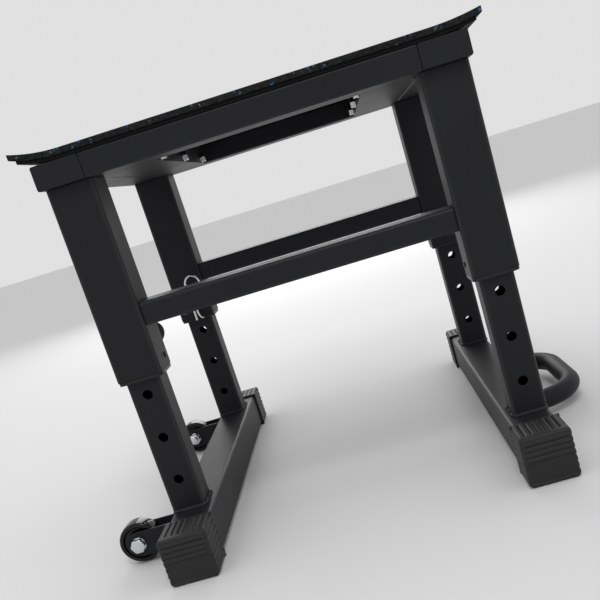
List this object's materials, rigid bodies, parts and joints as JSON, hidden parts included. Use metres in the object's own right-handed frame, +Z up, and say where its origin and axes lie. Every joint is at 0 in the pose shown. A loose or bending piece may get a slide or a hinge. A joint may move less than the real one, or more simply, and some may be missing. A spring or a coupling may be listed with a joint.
{
  "type": "adjustable step platform",
  "caption": "Square steel step platform with a rubber-topped deck, telescoping legs locked by pull pins, ribbed boots, transport wheels and a lifting handle.",
  "frame": {"origin": "on the floor, at the centre of the footprint", "axes": "+X from the wheel side to the handle side, +Y from front to rear along the base beams, +Z up"},
  "size_m": [0.916, 0.9226, 0.733],
  "materials": {
    "powder_coat": "satin black powder coat with a fine texture",
    "mat_rubber": "black granulated rubber with sparse blue and grey flecks",
    "deck_board": "dense black under-layer",
    "boot_rubber": "ribbed moulded rubber, slightly shiny on the ribs",
    "black_plastic": "moulded black plastic",
    "wheel_plastic": "glossy black moulded wheel",
    "bright_steel": "bright zinc-plated steel"
  },
  "bodies": {
    "platform": {"deck_mat": "mat_rubber", "deck_board": "deck_board", "end_tube_left": "powder_coat", "deck_support_left": "powder_coat", "end_tube_right": "powder_coat", "deck_support_right": "powder_coat", "support_bolt_front_left": "bright_steel", "support_bolt_rear_left": "bright_steel", "support_bolt_front_right": "bright_steel", "support_bolt_rear_right": "bright_steel", "front_rail": "powder_coat", "rear_rail": "powder_coat", "front_crossbar": "powder_coat", "rear_crossbar": "powder_coat", "sleeve_front_left": "powder_coat", "bushing_front_left": "black_plastic", "sleeve_rear_left": "powder_coat", "bushing_rear_left": "black_plastic", "sleeve_front_right": "powder_coat", "bushing_front_right": "black_plastic", "sleeve_rear_right": "powder_coat", "bushing_rear_right": "black_plastic"},
    "base_left": {"base_beam_left": "powder_coat", "inner_leg_front_left": "powder_coat", "leg_guide_front_left": "black_plastic", "foot_boot_front_left": "boot_rubber", "inner_leg_rear_left": "powder_coat", "leg_guide_rear_left": "black_plastic", "foot_boot_rear_left": "boot_rubber", "wheel_plate_outer_front": "powder_coat", "wheel_plate_inner_front": "powder_coat", "axle_bolt_front": "bright_steel", "axle_nut_front": "bright_steel", "wheel_plate_outer_rear": "powder_coat", "wheel_plate_inner_rear": "powder_coat", "axle_bolt_rear": "bright_steel", "axle_nut_rear": "bright_steel"},
    "base_right": {"base_beam_right": "powder_coat", "inner_leg_front_right": "powder_coat", "leg_guide_front_right": "black_plastic", "foot_boot_front_right": "boot_rubber", "inner_leg_rear_right": "powder_coat", "leg_guide_rear_right": "black_plastic", "foot_boot_rear_right": "boot_rubber", "lift_handle": "powder_coat"},
    "front_wheel": {"wheel_front": "wheel_plastic"},
    "rear_wheel": {"wheel_rear": "wheel_plastic"},
    "pin_front_left": {"lock_pin_front_left": "bright_steel", "pin_knob_front_left": "black_plastic", "pin_clip_front_left": "bright_steel"},
    "pin_rear_left": {"lock_pin_rear_left": "bright_steel", "pin_knob_rear_left": "black_plastic", "pin_clip_rear_left": "bright_steel"},
    "pin_front_right": {"lock_pin_front_right": "bright_steel", "pin_knob_front_right": "black_plastic", "pin_clip_front_right": "bright_steel"},
    "pin_rear_right": {"lock_pin_rear_right": "bright_steel", "pin_knob_rear_right": "black_plastic", "pin_clip_rear_right": "bright_steel"}
  },
  "joints": [
    {"name": "base_left_lift", "type": "slide", "parent": "platform", "child": "base_left", "axis": [0, 0, 1], "range_m": [0, 0.24]},
    {"name": "base_right_lift", "type": "slide", "parent": "platform", "child": "base_right", "axis": [0, 0, 1], "range_m": [0, 0.24]},
    {"name": "front_wheel_spin", "type": "hinge", "parent": "base_left", "child": "front_wheel", "pos_m": [-0.42, -0.305, 0.04], "axis": [0, 1, 0], "continuous": true},
    {"name": "rear_wheel_spin", "type": "hinge", "parent": "base_left", "child": "rear_wheel", "pos_m": [-0.42, 0.305, 0.04], "axis": [0, 1, 0], "continuous": true},
    {"name": "pin_front_left_pull", "type": "slide", "parent": "platform", "child": "pin_front_left", "axis": [0, 1, 0], "range_m": [0, 0.05]},
    {"name": "pin_rear_left_pull", "type": "slide", "parent": "platform", "child": "pin_rear_left", "axis": [0, -1, 0], "range_m": [0, 0.05]},
    {"name": "pin_front_right_pull", "type": "slide", "parent": "platform", "child": "pin_front_right", "axis": [0, 1, 0], "range_m": [0, 0.05]},
    {"name": "pin_rear_right_pull", "type": "slide", "parent": "platform", "child": "pin_rear_right", "axis": [0, -1, 0], "range_m": [0, 0.05]}
  ]
}
